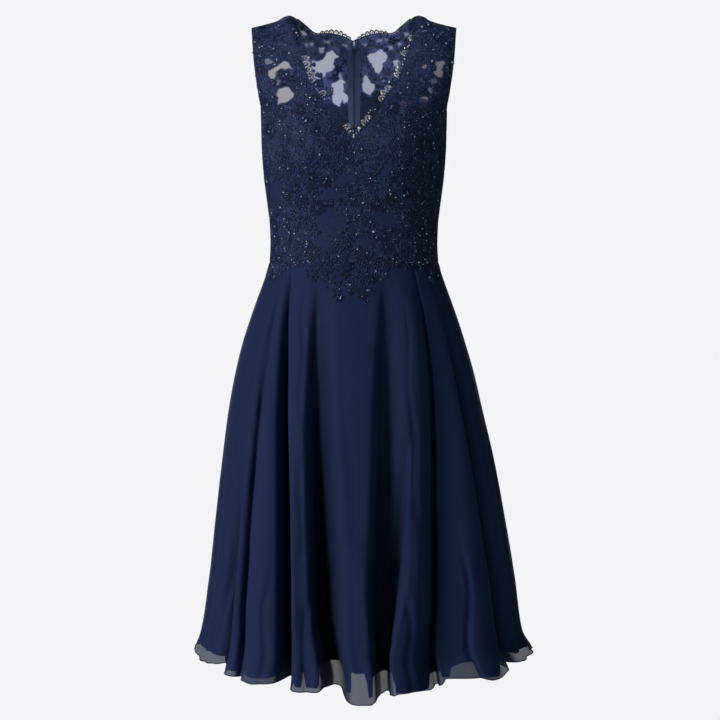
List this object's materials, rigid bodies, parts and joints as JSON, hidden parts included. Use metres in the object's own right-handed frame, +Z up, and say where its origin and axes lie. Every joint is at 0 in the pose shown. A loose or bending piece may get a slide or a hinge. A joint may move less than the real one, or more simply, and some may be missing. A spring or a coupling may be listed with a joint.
{
  "type": "cocktail dress",
  "caption": "Sleeveless knee-length cocktail dress: V-neck beaded lace bodice with a sheer yoke, flared chiffon skirt over a shorter lining, and a concealed back zip.",
  "frame": {"origin": "midway between the two shoulder ridges, where the dress is held up", "axes": "+Z up along the dress from hem to shoulders, +X towards the wearer's left side, the front faces -Y"},
  "size_m": [0.5123, 0.4736, 0.9982],
  "materials": {
    "navy_lace": "beaded floral lace on net",
    "navy_lining": "smooth opaque lining",
    "navy_trim": "scalloped corded edging with small beads",
    "navy_chiffon": "sheer soft chiffon",
    "navy_tape": "woven zip tape",
    "navy_metal": "satin enamel"
  },
  "bodies": {
    "dress": {"bodice_front": "navy_lace", "bodice_back_left": "navy_lace", "bodice_back_right": "navy_lace", "waist_lace_front": "navy_lace", "waist_lace_back_left": "navy_lace", "waist_lace_back_right": "navy_lace", "bodice_lining_front": "navy_lining", "bodice_lining_back_left": "navy_lining", "bodice_lining_back_right": "navy_lining", "skirt_lining_front": "navy_lining", "skirt_lining_back_left": "navy_lining", "skirt_lining_back_right": "navy_lining", "edging_front_left": "navy_trim", "edging_front_right": "navy_trim", "edging_back_left": "navy_trim", "edging_back_right": "navy_trim", "skirt_front": "navy_chiffon", "skirt_back_left": "navy_chiffon", "skirt_back_right": "navy_chiffon", "zip_tape_left": "navy_tape", "zip_tape_right": "navy_tape", "zip_slider": "navy_metal"},
    "zip_pull": {"zip_pull": "navy_metal"}
  },
  "joints": [
    {"name": "pull_tab_hinge", "type": "hinge", "parent": "dress", "child": "zip_pull", "pos_m": [0, 0.0588, -0.04484], "axis": [1, 0, 0], "range_deg": [0, 150]}
  ]
}
